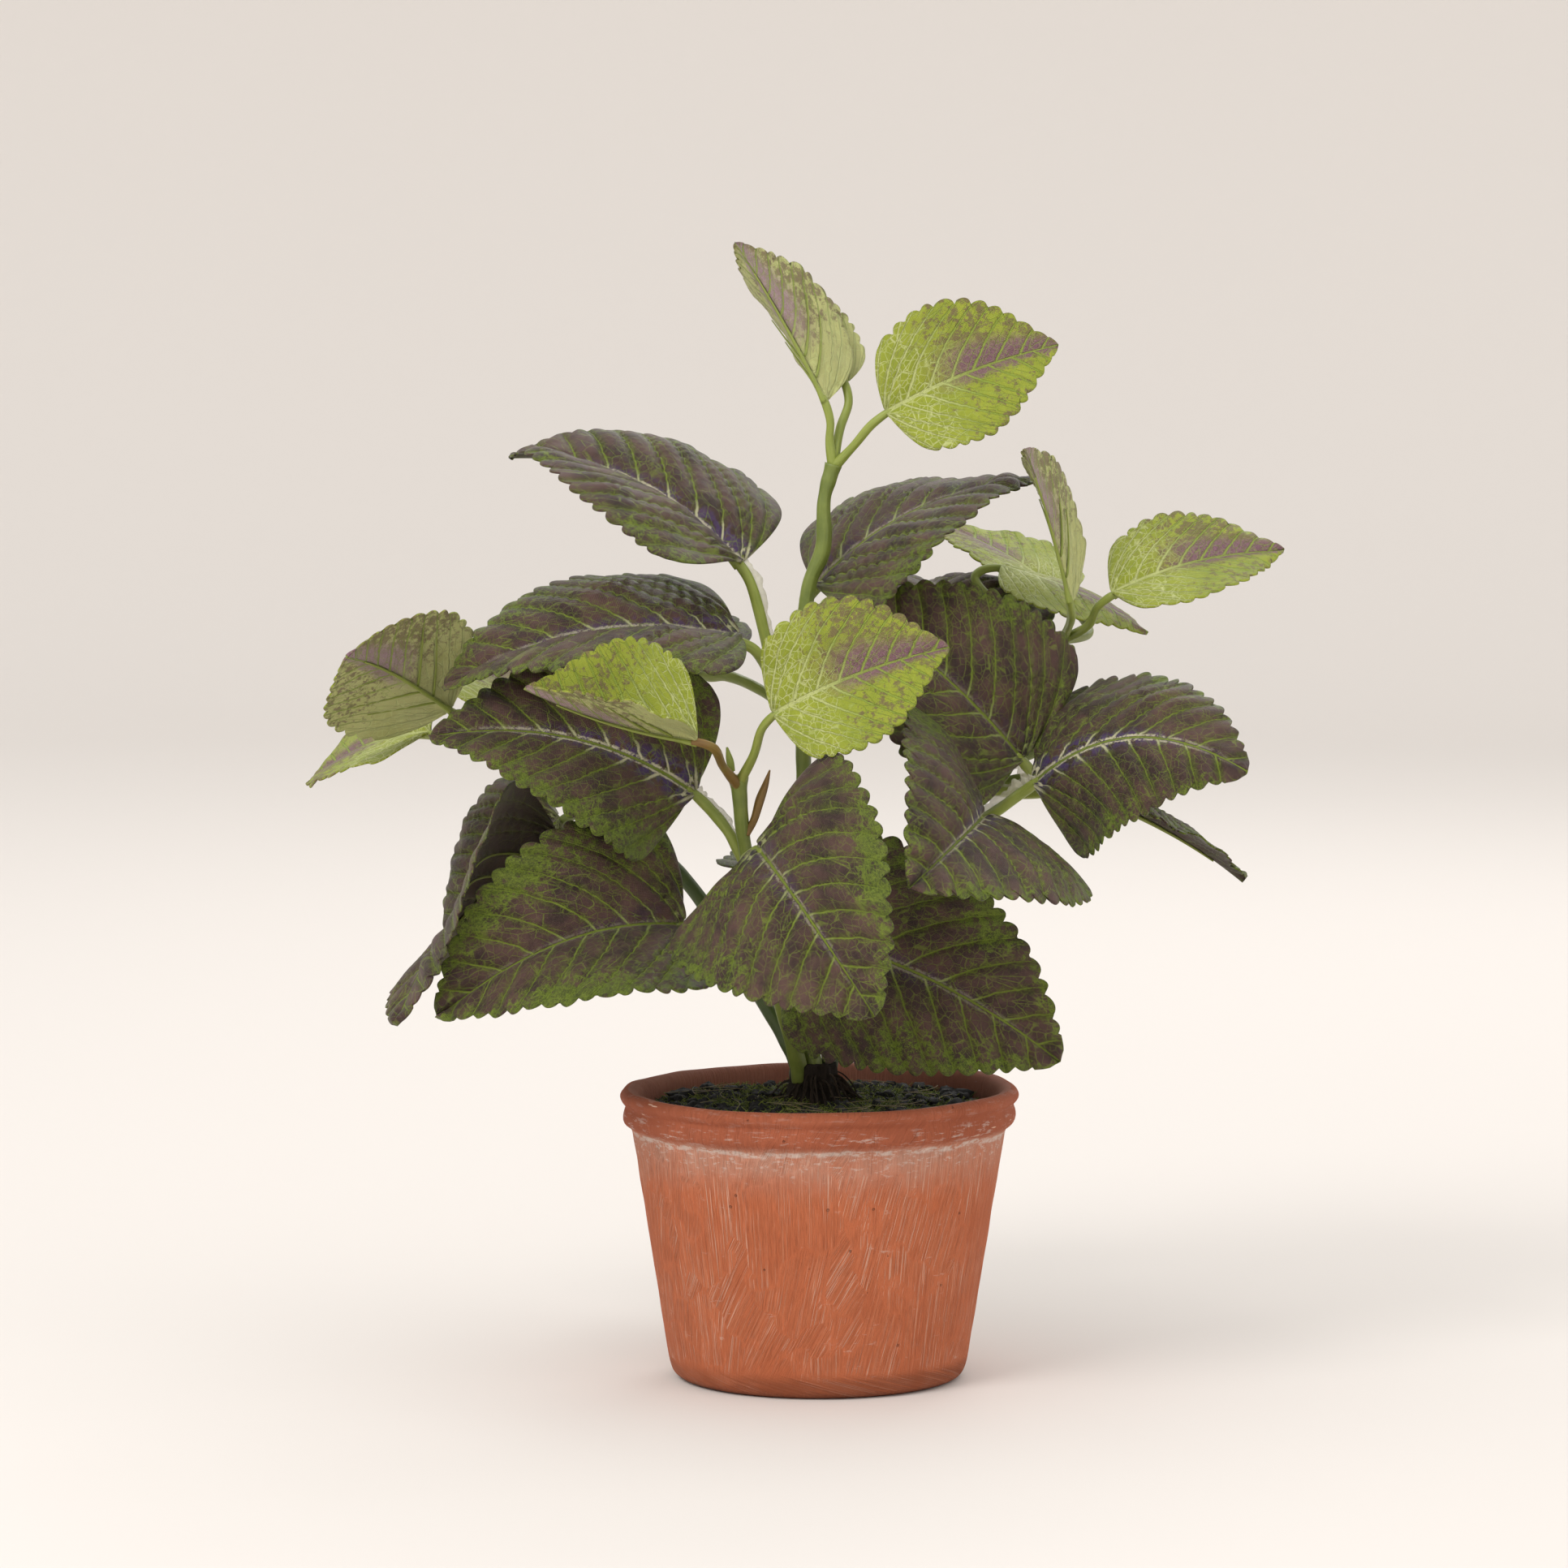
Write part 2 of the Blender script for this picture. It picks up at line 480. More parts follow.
def add_piece(name, points, faces, materials, stands_for, slots=None, fields=None):
    """A mesh piece from points in millimetres, riding on the root body."""
    mesh = bpy.data.meshes.new(name)
    mesh.from_pydata((np.asarray(points, float) * MM).tolist(), [], faces)
    for material in materials:
        mesh.materials.append(material)
    mesh.polygons.foreach_set("use_smooth", [True] * len(faces))
    if slots is not None:
        mesh.polygons.foreach_set("material_index", slots)
    for field, values in (fields or {}).items():
        attribute = mesh.attributes.new(field, "FLOAT_VECTOR", "POINT")
        attribute.data.foreach_set("vector", np.asarray(values, np.float32).ravel())
    mesh.update()
    made = bpy.data.objects.new(name, mesh)
    bpy.context.scene.collection.objects.link(made)
    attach(made, "root")
    if stands_for:
        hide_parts(*stands_for)


class Mesh:
    """Points, faces and one three-number field, gathered up."""

    def __init__(self):
        self.points = []
        self.faces = []
        self.field = []
        self.count = 0

    def add(self, points, faces, field):
        self.faces.extend([tuple(i + self.count for i in face) for face in faces])
        self.points.append(np.asarray(points, float))
        self.field.append(np.asarray(field, float))
        self.count += len(points)

    def piece(self, name, materials, stands_for, field="tone"):
        add_piece(name, np.concatenate(self.points), self.faces, materials, stands_for,
                  fields={field: np.concatenate(self.field)})


def unit(vectors):
    return vectors / np.linalg.norm(vectors, axis=-1, keepdims=True)


def columns_of(*parts):
    """Arrays and plain numbers, side by side as the columns of one table."""
    return np.stack([np.ravel(part) for part in np.broadcast_arrays(*parts)], -1)


def circle(sides):
    """Angles of that many even steps round a circle."""
    return 2 * math.pi * np.arange(sides) / sides


def ring_joins(rows, sides):
    """For rings of points, one after another: the corners a, b and those of the next ring."""
    for i in range(rows - 1):
        for k in range(sides):
            a, b = i * sides + k, i * sides + (k + 1) % sides
            yield a, b, b + sides, a + sides


def closed_loft(rows, sides):
    """Faces of a loft through rings of points, with a flat cap on each end."""
    last = (rows - 1) * sides
    caps = [tuple(range(sides - 1, -1, -1)), tuple(range(last, last + sides))]
    return list(ring_joins(rows, sides)) + caps


def spread(rows, sides):
    """Faces from point 0 out through rings of points, looking the other way."""
    faces = [(0, 1 + k, 1 + (k + 1) % sides) for k in range(sides)]
    return faces + [(1 + a, 1 + d, 1 + c, 1 + b) for a, b, c, d in ring_joins(rows, sides)]


def smooth_reading(table, at):
    """A smooth curve through a table of (station, value) pairs."""
    stations = np.array([row[0] for row in table], float)
    values = np.array([row[1] for row in table], float)
    slopes = np.zeros_like(values)
    rises = np.diff(values) / np.diff(stations)
    spans = np.diff(stations)
    slopes[1:-1] = (rises[:-1] * spans[1:] + rises[1:] * spans[:-1]) / (spans[:-1] + spans[1:])
    slopes[0], slopes[-1] = rises[0], rises[-1]
    i = np.clip(np.searchsorted(stations, at, side="right") - 1, 0, len(table) - 2)
    span = stations[i + 1] - stations[i]
    u = (at - stations[i]) / span
    return ((1 + 2 * u) * (1 - u) ** 2 * values[i] + u * (1 - u) ** 2 * span * slopes[i]
            + u * u * (3 - 2 * u) * values[i + 1] + u * u * (u - 1) * span * slopes[i + 1])


def ripples(x, y, rng, size, waves=6):
    """Smooth unevenness from -1 to 1 with features of about that size."""
    total = np.zeros_like(x)
    for _ in range(waves):
        turn = rng.uniform(0, 2 * math.pi)
        pace = 2 * math.pi / size * rng.uniform(0.6, 1.4)
        total += np.sin((x * math.cos(turn) + y * math.sin(turn)) * pace + rng.uniform(0, 2 * math.pi))
    return total / waves * 1.6


RIDGES_ROUND = 5        # ridges round a tube


def ring_tube(centres, radii, sides, ridges=0.0):
    """A closed tube along centres; returns points, faces, and (angle, length) fields."""
    centres = np.asarray(centres, float)
    along = unit(np.gradient(centres, axis=0))
    side = np.array([0.31, -0.87, 0.12])
    steps = np.linalg.norm(np.diff(centres, axis=0), axis=1)
    length = np.concatenate([[0], np.cumsum(steps)])
    angles = circle(sides)
    points, marks = [], []
    for i, centre in enumerate(centres):
        side = unit(side - side.dot(along[i]) * along[i])
        other = np.cross(along[i], side)
        shape = (radii[i] * (1 + ridges * np.cos(RIDGES_ROUND * angles)))[:, None]
        points.append(centre + shape * (np.cos(angles)[:, None] * side + np.sin(angles)[:, None] * other))
        marks.append(columns_of(np.minimum(angles, 2 * math.pi - angles), length[i]))
    return np.concatenate(points), closed_loft(len(centres), sides), np.concatenate(marks)


def curve_through(points, spacing):
    """Points and radii at about that spacing on a smooth curve through x, y, z, r rows."""
    rows = np.asarray(points, float)
    gaps = np.sqrt(np.linalg.norm(np.diff(rows[:, :3], axis=0), axis=1))
    knots = np.concatenate([[0], np.cumsum(gaps)])
    length = np.sum(gaps ** 2)
    at = np.linspace(0, knots[-1], max(4, int(length / spacing)))
    ready = np.stack([smooth_reading(list(zip(knots, rows[:, i])), at) for i in range(4)], 1)
    return ready[:, :3], np.maximum(ready[:, 3], 0.2)


def add_tube(mesh, points, tone, sides, spacing, ridges=0.0, rng=None):
    """A tube through x, y, z, r rows. With rng its thickness is uneven."""
    centres, radii = curve_through(points, spacing)
    if rng is not None:
        along = np.arange(len(centres))
        radii = radii * (1 + 0.07 * ripples(along * spacing, along * 0.0, rng, 9.0))
    tube, faces, marks = ring_tube(centres, radii, sides, ridges)
    mesh.add(tube, faces, columns_of(tone, *marks.T))


# ------------------------------------------------------------------ leaves

TEETH = {"dark": 14, "lime": 11}          # scallops on each side
TOOTH_DEPTH = {"dark": 2.7, "lime": 1.9}
TOOTHED = {"dark": (0.13, 0.95), "lime": (0.12, 0.96)}    # stations of the first and last
ROWS = {"dark": 200, "lime": 150}
COLUMNS = {"dark": 28, "lime": 22}
SHEET = 0.5                               # thickness of the cloth
QUILT = {"dark": 1.45, "lime": 0.45}      # how far it swells between the side veins
GROOVE = 0.7                              # how deep the midrib is sunk at the base


class Leaf:
    """A folded, arched and twisted blade, read at station t and side q."""

    def __init__(self, name):
        (self.kind, base, tip, face, self.arch, self.sweep, self.width,
         self.fold, self.curl, self.twist, self.green) = LEAVES[name]
        self.base = np.array(base, float)
        self.chord = np.array(tip, float) - self.base
        self.length = np.linalg.norm(self.chord)
        self.pale = PALE_VEINS.get(name, PALE_ELSEWHERE)
        along = self.chord / self.length
        face = np.array(face, float)
        self.up = unit(face - face.dot(along) * along)
        self.left = np.cross(self.up, along)
        self.half = self.width / 2

    def outline(self, t):
        rounding = np.sqrt(np.clip((1 - t) / 0.014, 0, 1))
        return np.maximum(smooth_reading(OUTLINE[self.kind], t), 0.02) * rounding

    def direction(self, t):
        """Direction of the midrib."""
        t = np.asarray(t, float)[..., None]
        bow = self.up * self.arch + self.left * self.sweep
        return unit(self.chord + bow * self.length * 4 * (1 - 2 * t))

    def surface(self, t, q):
        """Points of the mid-surface, and the way its upper face looks."""
        t, q = np.asarray(t, float)[..., None], np.asarray(q, float)[..., None]
        bow = self.up * self.arch + self.left * self.sweep
        middle = self.base + self.chord * t + bow * self.length * 4 * t * (1 - t)
        along = self.direction(t[..., 0])
        up = unit(self.up - np.sum(self.up * along, -1, keepdims=True) * along)
        side = np.cross(up, along)
        turn = math.radians(self.twist) * (t - 0.3)
        n = up * np.cos(turn) - side * np.sin(turn)
        s = side * np.cos(turn) + up * np.sin(turn)
        reach, bend, more = np.abs(q), math.radians(self.fold), math.radians(self.curl)
        if abs(more) < 1e-6:
            out, rise = reach * math.cos(bend), reach * math.sin(bend)
        else:
            out = (np.sin(bend + more * reach) - math.sin(bend)) / more
            rise = (math.cos(bend) - np.cos(bend + more * reach)) / more
        lean = (bend + more * reach) * np.clip(reach * 18, 0, 1)
        points = middle + s * np.sign(q) * out * self.half + n * rise * self.half
        return points, n * np.cos(lean) - s * np.sign(q) * np.sin(lean)

    def vein_order(self, t, q):
        """Whole numbers on the side veins, and the millimetres from one to the next."""
        reach = np.abs(q)
        first, second = FORWARD
        s = t - first * reach - second * reach ** 2
        tilt = first + 2 * second * reach
        fan = FAN * reach + 0.006
        order = np.where(s >= 0, s / LATERAL, s / fan)
        lengthwise = np.where(s >= 0, 1 / LATERAL, 1 / fan) / self.length
        outwards = np.where(s >= 0, -tilt / LATERAL, (-tilt * fan - s * FAN) / fan ** 2)
        return order, 1 / np.hypot(lengthwise, outwards / self.half)

    def relief(self, t, q, rel, rng):
        """How far the cloth stands out of its smooth surface."""
        x, y = t * self.length, q * self.half
        order, _ = self.vein_order(t, q)
        late = ALTERNATE * (y < 0) * np.clip(order, 0, 1)
        pads = np.abs(np.sin(math.pi * (order + late))) ** 0.7
        window = np.clip(rel / 0.2, 0, 1) * (1 - 0.75 * np.clip((rel - 0.6) / 0.4, 0, 1))
        lumps = 1 + 0.5 * ripples(x, y, rng, 22)
        quilt = QUILT[self.kind] * pads * window * lumps
        groove = -GROOVE * np.exp(-((y / 1.3) ** 2)) * (1 - t)
        soft = 0.8 * ripples(x, y, rng, 34) * np.clip(rel * 2, 0, 1)
        ruffle = 0.7 * ripples(x, y * 0.2, rng, 13) * np.clip(rel, 0, 1) ** 3
        return quilt + groove + soft + ruffle


def toothed_margin(leaf, rng):
    """Rows along the margin: station, half width, outward normal, the teeth's depth."""
    t = np.linspace(0, 1, 1200)
    half = leaf.outline(t) * leaf.half
    arc = np.concatenate([[0], np.cumsum(np.hypot(np.diff(t) * leaf.length, np.diff(half)))])
    at = np.linspace(0, arc[-1], ROWS[leaf.kind] + 1)
    station, width = np.interp(at, arc, t), np.interp(at, arc, half)
    dx, dy = np.gradient(station * leaf.length, at), np.gradient(width, at)
    size = np.hypot(dx, dy)
    start, end = (np.interp(limit, t, arc) for limit in TOOTHED[leaf.kind])
    teeth = TEETH[leaf.kind]
    notches = np.linspace(start, end, teeth + 1)
    notches[1:-1] += rng.uniform(-0.16, 0.16, teeth - 1) * (end - start) / teeth
    tooth = np.clip(np.searchsorted(notches, at, side="right") - 1, 0, teeth - 1)
    phase = np.clip((at - notches[tooth]) / (notches[tooth + 1] - notches[tooth]), 0, 1)
    lobe = np.abs(np.sin(math.pi * phase ** 1.2)) ** 0.5
    depth = TOOTH_DEPTH[leaf.kind] * rng.uniform(0.75, 1.2, teeth)[tooth]
    growing = np.clip((at - start) / 6, 0, 1) * np.clip(width / 9, 0.15, 1)
    inside = (at > start) & (at < end)
    return station, width, -dy / size, dx / size, np.where(inside, depth * growing * (1 - lobe), 0)


def blade_faces(rows, columns):
    """Faces of a closed sheet of (rows+1) x (columns+1) points, upper layer first."""
    across = columns + 1
    layer = (rows + 1) * across
    top, under, rim = [], [], []
    for i in range(rows):
        for j in range(columns):
            a, b = i * across + j, (i + 1) * across + j
            top.append((a, b, b + 1, a + 1))
            under.append((layer + a + 1, layer + b + 1, layer + b, layer + a))
        a, b = i * across, (i + 1) * across
        rim.append((a, layer + a, layer + b, b))
        rim.append((b + columns, layer + b + columns, layer + a + columns, a + columns))
    for j in range(columns):
        rim.append((j + 1, layer + j + 1, layer + j, j))
        end = rows * across + j
        rim.append((end, layer + end, layer + end + 1, end + 1))
    return top, under, rim


def make_leaf(name, number, cloths):
    """A closed sheet of cloth on the leaf's surface. Returns the leaf."""
    leaf = Leaf(name)
    rng = np.random.default_rng(SEED + number)
    rows, columns = ROWS[leaf.kind], COLUMNS[leaf.kind]
    even = np.linspace(-1, 1, columns + 1)
    share = np.sign(even) * (1 - (1 - np.abs(even)) ** 1.2)
    sides = {side: toothed_margin(leaf, rng) for side in (-1, 1)}
    t = np.zeros((rows + 1, columns + 1))
    q = np.zeros_like(t)
    for j, c in enumerate(share):
        station, width, nx, ny, depth = sides[1 if c >= 0 else -1]
        pull = depth * abs(c) ** 6
        t[:, j] = (station * leaf.length - nx * pull) / leaf.length
        q[:, j] = np.sign(c) * (abs(c) * width - ny * pull) / leaf.half
    rel = np.repeat(np.abs(share)[None, :], rows + 1, 0)
    points, normals = leaf.surface(t, q)
    middle = points + leaf.relief(t, q, rel, rng)[..., None] * normals
    half_sheet = normals * SHEET / 2
    both = np.concatenate([(middle + half_sheet).reshape(-1, 3), (middle - half_sheet).reshape(-1, 3)])
    fields = {
        "flat": columns_of(t * leaf.length, q * leaf.half, 0.37 + 0.61 * number),
        "vein": columns_of(*leaf.vein_order(t, q), rel),
        "zone": columns_of(t, leaf.green, leaf.pale),
    }
    top, under, rim = blade_faces(rows, columns)
    node = "leaf_" + name
    add_piece(node + "_cloth", both, top + under + rim, cloths[leaf.kind], [node],
              [0] * len(top) + [1] * len(under) + [0] * len(rim),
              {field: np.tile(values, (2, 1)) for field, values in fields.items()})
    return leaf


RIB_END = 0.8           # station at which the midrib's rib ends
RIB_REACH = 0.62        # how far out a side rib runs, as a share of the half width
RIB_TONE = 0.95


def add_rib(mesh, surface, radii, depth, sides):
    """A rib that deep under points of a blade."""
    points, normals = surface
    tube, faces, marks = ring_tube(points - normals * depth[:, None], radii, sides)
    mesh.add(tube, faces, columns_of(RIB_TONE, *marks.T))


def add_ribs(mesh, leaf):
    """The moulded midrib and four side ribs under a blade."""
    radius = PETIOLE_RADIUS[leaf.kind]
    t = np.linspace(-0.006, RIB_END, 40)
    radii = np.interp(t, [0, 0.1, RIB_END], [radius * 0.8, radius * 0.48, 0.25])
    midrib = leaf.surface(np.clip(t, 0, 1), np.zeros_like(t))
    add_rib(mesh, midrib, radii, GROOVE * (1 - t) + SHEET / 2 + radii * 0.8, 8)
    first, second = FORWARD
    reach = np.linspace(0.02, RIB_REACH, 18)
    radii = np.interp(reach, [0, RIB_REACH], [0.42, 0.16])
    for side in (-1, 1):
        for order in (1, 2):
            origin = LATERAL * (order - (ALTERNATE if side < 0 else 0))
            stations = origin + first * reach + second * reach ** 2
            add_rib(mesh, leaf.surface(stations, side * reach), radii, SHEET / 2 + radii * 0.6, 6)


STRAIGHTNESS = 0.6      # 1 takes a petiole straight to its blade, 0 along the midrib


def petiole_points(leaf, start):
    """The petiole's first points, then those that bring it in under the blade's base."""
    radius = PETIOLE_RADIUS[leaf.kind]
    into = leaf.direction(0.0)
    _, up = leaf.surface(0.0, 0.0)
    straight = unit(leaf.base - np.array(start[-1], float))
    last = unit(into * (1 - STRAIGHTNESS) + straight * STRAIGHTNESS)
    rows = [(*p, radius * (1.25 if i == 0 else 1.0)) for i, p in enumerate(start)]
    rows.append((*(leaf.base - last * 5.9 - up * 0.6), radius))
    rows.append((*(leaf.base - last * 0.4 - up), radius * 0.92))
    rows.append((*(leaf.base + into * 1.6 - up * 1.3), radius * 0.8))
    return rows


FILM_STEP = 0.7
FILM_HALF = 0.09        # half the film's thickness


def add_flash(mesh, rows, rng, width):
    """A thin ragged film along a petiole, standing off one side of it."""
    centres, radii = curve_through(rows, FILM_STEP)
    centres, radii = centres[3:-2], radii[3:-2]
    along = unit(np.gradient(centres, axis=0))
    side = unit(np.cross(along, np.array([0.1, -1.0, 0.15])))
    if side[0][2] < 0:
        side = -side
    place = np.arange(len(centres)) * FILM_STEP
    still = place * 0
    ragged = 0.65 + 0.5 * ripples(place, still, rng, 6) + 0.3 * ripples(place, still, rng, 2.4)
    ends = np.clip(np.minimum(place, place[-1] - place) / 2.5, 0, 1)
    reach = radii * 0.7 + width * np.clip(ragged, 0.1, 1.4) * ends
    look = np.cross(along, side)
    flutter = 0.35 * ripples(place, still, rng, 5)
    inner = centres + side * (radii * 0.5)[:, None]
    outer = inner + side * reach[:, None] + look * flutter[:, None]
    half = look * FILM_HALF
    corners = np.stack([inner + half, outer + half, outer - half, inner - half], 1)
    field = columns_of(np.repeat(place, 4), np.tile([0, 2, 2, 0], len(centres)), 3.0)
    mesh.add(corners.reshape(-1, 3), closed_loft(len(centres), 4), field)


# --------------------------------------------------------------------- pot

# Radius and height: up the outside, over the rim and a little way down inside.
POT_PROFILE = [
    (38.5, 0), (40.9, 0.7), (42.4, 2.4), (43.0, 4.6), (45.6, 20.7), (48.2, 37), (50.9, 53.8),
    (53.9, 72.6), (56.2, 73.8), (56.8, 76.0), (56.3, 78.4), (55.5, 79.2), (56.9, 79.9), (57.8, 81.6),
    (57.1, 83.3), (55.4, 84), (52.9, 83.4), (51.8, 81.8), (51.4, 76), (50.0, 68),
]
POT_CREST = 15          # the row of the profile on top of the rim
POT_STEPS = 160
POT_SIDES = 200

WALL_OUTSIDE = 50.0     # radius at which the outer wall's pattern is read
WALL_INSIDE = 44.0      # the same for the inner wall


class Wall:
    """Places on the pot's wall, in millimetres round it and up it, without a seam."""

    def __init__(self, graph):
        self.graph = graph
        x, y, self.height = graph.field("wall")
        self.angle = graph.math("ARCTAN2", y, x)
        radius = graph.math("SQRT", x * x + y * y)
        self.inner = graph.step(radius, WALL_OUTSIDE - 2.0, WALL_INSIDE + 2.0)

    def place(self, across, up, seed, lean=0.0):
        """A pattern point: across and up scale it, lean turns it by height."""
        turned = self.angle + self.height * (lean / WALL_OUTSIDE)
        x = self.graph.math("COSINE", turned) * (across * WALL_OUTSIDE)
        y = self.graph.math("SINE", turned) * (across * WALL_OUTSIDE)
        return self.graph.join(x + seed * 13.7, y, self.height * up)

    def strokes(self, lean, seed):
        """Coarse and hair-fine brush marks."""
        coarse = self.graph.noise(self.place(1.25, 0.02, seed, lean), 1.0, 4, 0.78)
        hair = self.graph.noise(self.place(2.9, 0.04, seed + 7.0, lean), 1.0, 3, 0.6)
        return coarse, hair


def clay():
    """Brushed terracotta with pale scratches and lime bloom below the collar."""
    g = Graph("clay", 0.82, 0.2)
    w = Wall(g)
    height, inner = w.height, w.inner
    place = w.place(1.0, 1.0, 0.0)
    patch = g.noise(place, 0.05, 4, 0.6)
    grain = g.noise(place, 1.1, 4, 0.65)
    collar = g.step(height + (grain - 0.5) * 2.0, 71.5, 74.5)
    bare = 1.0 - inner
    outside = (1.0 - collar) * bare

    slant = g.step(g.noise(w.place(1.0, 1.0, 20.0), 0.035, 2), 0.52, 0.56)
    steep = g.step(g.noise(w.place(1.0, 1.0, 30.0), 0.05, 2), 0.58, 0.61)
    foot = g.fade(height, 4.0, 9.0)
    brushed, fine = w.strokes(0.0, 1.0)
    for mask, lean, seed in ((slant, -0.22, 2.0), (steep, -0.6, 3.0), (foot, 4.0, 4.0)):
        other, hair = w.strokes(lean, seed)
        brushed = g.math("MULTIPLY_ADD", mask, other - brushed, brushed)
        fine = g.math("MULTIPLY_ADD", mask, hair - fine, fine)

    body = g.mix(patch, (0.48, 0.125, 0.050), (0.60, 0.185, 0.085))
    body = g.mix(g.step(brushed, 0.52, 0.68) * 0.36, body, (0.70, 0.32, 0.19))
    body = g.mix(g.step(brushed, 0.48, 0.34) * 0.36, body, (0.36, 0.085, 0.036))
    darker = g.mix(patch, (0.32, 0.080, 0.036), (0.48, 0.145, 0.074))
    colour = g.mix(collar * (1.0 - g.step(height, 83.0, 84.2) * 0.3), body, darker)
    colour = g.mix(inner, colour, g.mix(patch, (0.36, 0.13, 0.085), (0.48, 0.22, 0.15)))

    scratch = g.step(fine, 0.58, 0.62) * g.step(g.noise(place, 0.05, 3), 0.34, 0.58)
    colour = g.mix(scratch * outside * 0.6, colour, (0.78, 0.52, 0.40))
    scuff = g.step(g.noise(w.place(0.12, 0.5, 8.0), 1.0, 5, 0.75), 0.61, 0.68)
    colour = g.mix(scuff * outside * g.step(patch, 0.45, 0.6) * 0.5, colour, (0.74, 0.50, 0.40))

    near_collar = g.step(height, 56.0, 71.0) * outside
    haze = near_collar * g.lerp(g.noise(w.place(0.1, 0.14, 5.0), 1.0, 5, 0.65), -0.2, 1.3)
    colour = g.mix(haze * 0.75, colour, (0.58, 0.38, 0.30))
    chalk = g.noise(w.place(0.35, 0.9, 2.0), 1.0, 6, 0.75)
    bloom = g.step(chalk + near_collar * 0.12, 0.65, 0.73) * near_collar
    waver = (g.noise(w.place(0.09, 0.0, 6.0), 1.0, 3) - 0.5) * 2.6
    line = g.step(g.noise(w.place(0.3, 0.7, 6.0), 1.0, 5, 0.7), 0.42, 0.56)
    ring = g.fade(g.math("ABSOLUTE", height - 71.6 + waver), 0.3, 1.1) * line * bare
    bead = g.noise(w.place(0.16, 0.9, 1.0), 1.0, 6, 0.75)
    streaks = collar * bare * g.step(bead, 0.545, 0.62) * (1.0 - g.step(height, 76.5, 79.0) * 0.75)
    specks = g.step(g.noise(place, 0.55, 5, 0.75), 0.69, 0.76) * 0.5
    white = g.most(g.most(bloom * 0.55, ring * 0.75), g.most(specks, streaks * 0.5))
    colour = g.mix(white, colour, (0.74, 0.62, 0.55))
    chipped = g.step(g.spots(w.place(0.07, 0.5, 12.0)), 0.10, 0.07)
    colour = g.mix(chipped * collar * bare * 0.8, colour, (0.80, 0.56, 0.42))

    pits = g.fade(g.spots(w.place(0.12, 0.12, 3.0)), 0.035, 0.06)
    colour = g.mix(pits * 0.5, colour, (0.20, 0.07, 0.04))
    soot = g.step(2.2 - height + (grain - 0.5) * 3.0, 0.0, 2.0)
    colour = g.mix(soot * 0.5 * bare, colour, (0.16, 0.06, 0.04))
    g.colour(colour)
    g.rough(g.lerp(grain, 0.72, 0.92))
    g.bump(brushed * 0.9 + fine * 0.5 + grain * 0.15 - pits * 0.8, 0.0012)
    return g.material


def make_pot(material):
    """The profile turned round, with dents, a warped upper part and an uneven lip."""
    profile = np.array(POT_PROFILE)
    distance = np.concatenate([[0], np.cumsum(np.hypot(*np.diff(profile, axis=0).T))])
    at = np.linspace(0, distance[-1], POT_STEPS)
    radius = np.interp(at, distance, profile[:, 0])
    height = np.interp(at, distance, profile[:, 1])
    for _ in range(3):
        radius[1:-1] = (radius[:-2] + 2 * radius[1:-1] + radius[2:]) / 4
        height[2:-1] = (height[1:-2] + 2 * height[2:-1] + height[3:]) / 4
    rng = np.random.default_rng(SEED)
    a, h = np.meshgrid(circle(POT_SIDES), height)
    x, y = WALL_OUTSIDE * np.cos(a), WALL_OUTSIDE * np.sin(a)
    dents = 0.28 * ripples(x + h * 0.6, y - h * 0.4, rng, 40) + 0.12 * ripples(x, y + h, rng, 15)
    lip = 0.22 * ripples(x, y, rng, 17) * np.clip((h - 71) / 5, 0, 1)
    warp = (0.5 * np.cos(a) + 0.35 * ripples(x, y, rng, 60)) * np.clip((h - 60) / 20, 0, 1)
    r = radius[:, None] + (dents + lip) * np.clip(h / 3, 0, 1)
    points = columns_of(r * np.cos(a), r * np.sin(a), h + warp + lip * 0.6)
    read_at = np.where(at > distance[POT_CREST], WALL_INSIDE, WALL_OUTSIDE)[:, None]
    wall = columns_of(read_at * np.cos(a), read_at * np.sin(a), h)
    add_piece("pot_brushed", points, closed_loft(POT_STEPS, POT_SIDES), [material], ["pot"],
              fields={"wall": wall})


# -------------------------------------------------------------------- soil

SOIL_RADIUS = 50.6
SOIL_EDGE = 77.6
SOIL_MOUND = 2.4
SOIL_SKIRT = (49.2, 68.0)       # radius and height of the bed's lower edge
SOIL_RINGS, SOIL_SPOKES = 60, 160
CLODS = 700
CLOD_REACH = 47.5
BIG_CLODS_FROM = 36             # beyond this radius a few are much bigger
MOSS = 5200
MOSS_REACH = 48.5
MOSS_LIMIT = 49.8               # a strand that would reach past this is left out
STRAW_TONE = 1.5


def soil_height(x, y):
    r = np.hypot(x, y) / SOIL_RADIUS
    lumps = 0.5 * np.sin(x * 0.21 + 1.1) * np.cos(y * 0.17 - 0.4) + 0.3 * np.sin(0.33 * y + 0.12 * x)
    return SOIL_EDGE + SOIL_MOUND * (1 - r * r) + lumps * (1 - r ** 3)


def earth():
    """Near-black grains, green in patches except on the clods."""
    g = Graph("earth", 0.75, 0.45)
    x, y, kind = g.field("ground")
    place = g.join(x, y, kind)
    grain = g.noise(place, 1.4, 5, 0.7)
    colour = g.mix(g.step(grain, 0.4, 0.75), (0.006, 0.006, 0.006), (0.034, 0.032, 0.032))
    green = g.step(g.noise(place, 0.09, 3), 0.47, 0.58) * g.step(grain, 0.4, 0.6) * g.fade(kind, 0.2, 0.5)
    colour = g.mix(green * 0.9, colour, g.mix(grain, (0.05, 0.075, 0.010), (0.15, 0.20, 0.025)))
    g.colour(colour)
    g.rough(g.lerp(grain, 0.5, 0.9))
    g.bump(grain, 0.0012)
    return g.material


